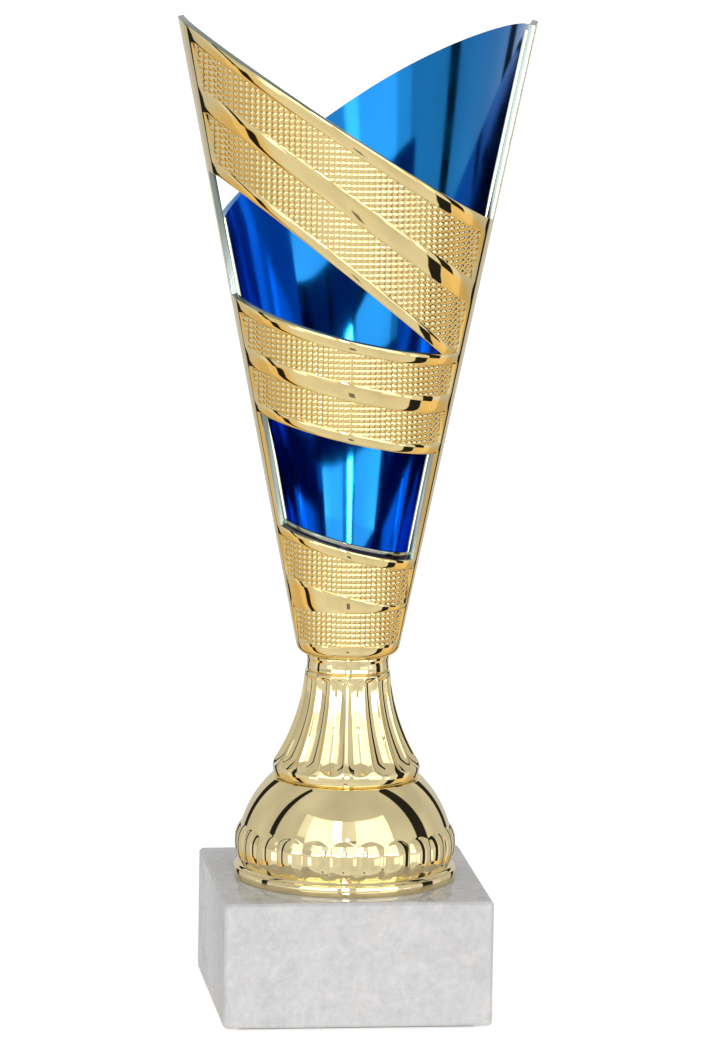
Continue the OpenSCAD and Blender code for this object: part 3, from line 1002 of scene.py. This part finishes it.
def make_floor():
    """A pale matt floor, which the mirror finishes don't show."""
    deselect()
    bpy.ops.mesh.primitive_plane_add(size=12, location=(0, 0, -0.00005))
    floor = bpy.context.object
    floor.name = "floor"
    material, tree, shader = new_material("Pale floor")
    tree.links.new(remap(tree, noise(tree, 3, 2), 0, 1, 0.55, 0.6), shader.inputs["Roughness"])
    shader.inputs["Base Color"].default_value = (0.9, 0.9, 0.9, 1)
    shader.inputs["Specular IOR Level"].default_value = 0.1
    shader.inputs["Emission Color"].default_value = (1, 1, 1, 1)
    shader.inputs["Emission Strength"].default_value = 0.5
    floor.data.materials.append(material)
    floor.visible_glossy = False


WALL, DARK = 0.62, 0.02
# What stands around the trophy: heading and elevation ranges in degrees, and brightness
TENT = (
    (-110, 110, -60, 2, 0.8),
    (-53, -14, 2, 44, 1.5),
    (6, 50, 2, 44, 1.5),
    (-53, -14, 2, 12, 3.2),
    (6, 50, 2, 12, 3.2),
    (-14, 6, 21, 44, 0.22),
    (-9, -2, 6, 21, 22.0),
    (-11, 6, 23, 44, 0.9),
    (-22, -11, 22.5, 44, 2.8),
    (-64, -53, 22, 44, 1.0),
    (-11, -4, -38, -31, 0.2),
    (30, 52, -14, -3, 1.5),
    (-66, -52, -16, -3, 2.0),
    (57, 66, -16, -3, 2.0),
    (-101, -93, -20, 62, DARK),
    (-97, -87, -60, -20, DARK),
    (81, 97, -20, 62, DARK),
    (64, 80, -60, -20, DARK),
    (136, 145, -60, 50, DARK),
    (-155, -146, -60, 50, DARK),
)

# The wall turns warm low down and to the sides, between these headings and elevations in degrees
WARM, WARM_HEADINGS, WARM_RISES = (1.1, 0.84, 0.46, 1), (74, 84), (-14, -20)


def make_world():
    """A light tent: an even pale wall, bright panels with a strip between them, and dark upright gaps.
    The camera itself sees plain white behind the floor."""
    world = bpy.data.worlds.new("Tent")
    bpy.context.scene.world = world
    world.use_nodes = True
    tree = world.node_tree
    tree.nodes.clear()
    direction = tree.nodes.new("ShaderNodeTexCoord").outputs["Generated"]
    split = tree.nodes.new("ShaderNodeSeparateXYZ")
    tree.links.new(direction, split.inputs[0])
    x, y, z = split.outputs
    heading = math_node(tree, "ARCTAN2", x, math_node(tree, "MULTIPLY", y, -1))
    rise = math_node(tree, "ARCSINE", z)
    level = WALL
    soft = math.radians(0.6)
    for left, right, bottom, top, brightness in TENT:
        mask = None
        for value, edge, side in ((heading, left, 1), (heading, right, -1), (rise, bottom, 1),
                                  (rise, top, -1)):
            edge = math.radians(edge)
            step = remap(tree, value, edge - side * soft, edge + side * soft, 0, 1)
            mask = step if mask is None else math_node(tree, "MULTIPLY", mask, step)
        mix = node(tree, "ShaderNodeMix")
        tree.links.new(mask, mix.inputs[0])
        for place, part in ((2, level), (3, brightness)):
            if isinstance(part, float):
                mix.inputs[place].default_value = part
            else:
                tree.links.new(part, mix.inputs[place])
        level = mix.outputs[0]
    drift = node(tree, "ShaderNodeTexNoise", Scale=1.6, Detail=1.5)
    tree.links.new(direction, drift.inputs["Vector"])
    uneven = remap(tree, drift.outputs["Fac"], 0.3, 0.7, 0.86, 1.14)
    level = math_node(tree, "MULTIPLY", level, uneven)
    aside = remap(tree, math_node(tree, "ABSOLUTE", heading), *map(math.radians, WARM_HEADINGS), 0, 1)
    low = remap(tree, rise, *map(math.radians, WARM_RISES), 0, 1)
    warmth = blend_colours(tree, math_node(tree, "MULTIPLY", aside, low), (1, 1, 1, 1), WARM)
    studio = node(tree, "ShaderNodeBackground")
    tree.links.new(warmth, studio.inputs["Color"])
    tree.links.new(level, studio.inputs["Strength"])
    plain = node(tree, "ShaderNodeBackground", Color=(1, 1, 1, 1), Strength=1.0)
    seen = tree.nodes.new("ShaderNodeLightPath").outputs["Is Camera Ray"]
    mix = tree.nodes.new("ShaderNodeMixShader")
    tree.links.new(seen, mix.inputs[0])
    tree.links.new(studio.outputs[0], mix.inputs[1])
    tree.links.new(plain.outputs[0], mix.inputs[2])
    out = tree.nodes.new("ShaderNodeOutputWorld")
    tree.links.new(mix.outputs[0], out.inputs["Surface"])


TROPHY_MIDDLE = Vector((0, 0, 0.16))


def add_panel(name, heading, distance, height, size, radiance):
    """A soft light panel that faces the trophy's middle from a heading, in metres and degrees."""
    data = bpy.data.lights.new(name, "AREA")
    data.shape = "RECTANGLE"
    data.size, data.size_y = size
    data.energy = radiance * math.pi * size[0] * size[1]
    panel = bpy.data.objects.new(name, data)
    bpy.context.scene.collection.objects.link(panel)
    turn = math.radians(heading)
    place = Vector((math.sin(turn) * distance, -math.cos(turn) * distance, height))
    panel.location = place
    panel.rotation_euler = (TROPHY_MIDDLE - place).to_track_quat("-Z", "Y").to_euler()
    panel.visible_camera = False
    return panel


def make_lights():
    add_panel("flash", -4, 2.3, 1.1, (0.12, 0.12), 14)
    overhead = add_panel("overhead", 0, 0.6, 2.2, (1.6, 1.6), 0.15)
    overhead.visible_glossy = False


def make_camera():
    """A long lens, in front and a little to the left, that looks slightly down."""
    data = bpy.data.cameras.new("camera")
    data.sensor_fit = "HORIZONTAL"
    data.sensor_width = 36
    data.lens = 351
    data.clip_end = 50
    camera = bpy.data.objects.new("camera", data)
    bpy.context.scene.collection.objects.link(camera)
    place = Vector((-0.2604, -2.1649, 0.5224))
    yaw, pitch, roll = math.radians(6.93), math.radians(9.59), math.radians(0.92)
    ahead = Vector((math.sin(yaw) * math.cos(pitch), math.cos(yaw) * math.cos(pitch), -math.sin(pitch)))
    right = Vector((math.cos(yaw), -math.sin(yaw), 0))
    up = right.cross(ahead)
    right, up = math.cos(roll) * right + math.sin(roll) * up, -math.sin(roll) * right + math.cos(roll) * up
    camera.matrix_world = Matrix((
        (right.x, up.x, -ahead.x, place.x), (right.y, up.y, -ahead.y, place.y),
        (right.z, up.z, -ahead.z, place.z), (0, 0, 0, 1)))
    bpy.context.scene.camera = camera


make_felt()
make_marble()
make_washer("lower_washer", "base_washer")
make_washer("upper_washer", "cup_washer")
make_nut("lower_nut", "base_nut")
make_nut("upper_nut", "cup_nut")
make_rod()
make_foot()
make_stem()
make_collar()
make_cup_frame()
make_cup_shell()
make_floor()
make_world()
make_lights()
make_camera()
bpy.context.scene.view_settings.view_transform = "Standard"
